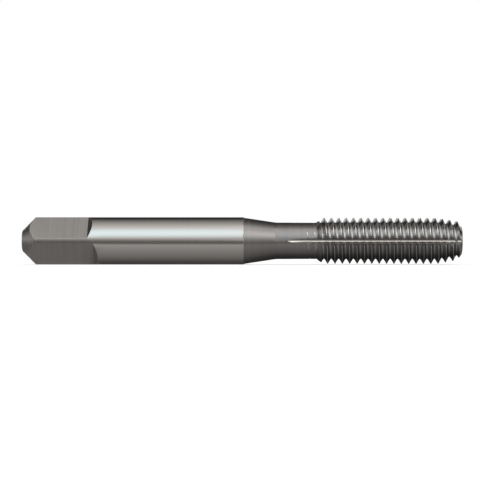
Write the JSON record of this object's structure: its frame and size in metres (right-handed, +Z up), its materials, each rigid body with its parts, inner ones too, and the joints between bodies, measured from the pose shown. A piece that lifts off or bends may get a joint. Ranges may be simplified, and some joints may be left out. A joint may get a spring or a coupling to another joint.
{
  "type": "thread forming tap",
  "caption": "Thread forming tap: driving square, round ground shank, slimmer neck and a lobed right-hand V thread with straight oil grooves.",
  "frame": {"origin": "centre of the bounding box's bottom face: on the surface the tap lies on, under the middle of its length and under its axis", "axes": "+X along the tap's axis from the driving square to the thread's tip, +Z up; one corner of the driving square points to -Y and one to +Z"},
  "size_m": [0.0744, 0.008, 0.008],
  "materials": {
    "ground_steel": "bright high speed steel: fine cylindrical grinding on the shank, cross-ground flats, a duller turned neck and ground thread"
  },
  "bodies": {
    "root": {"thread_forming_tap": "ground_steel"}
  },
  "joints": []
}
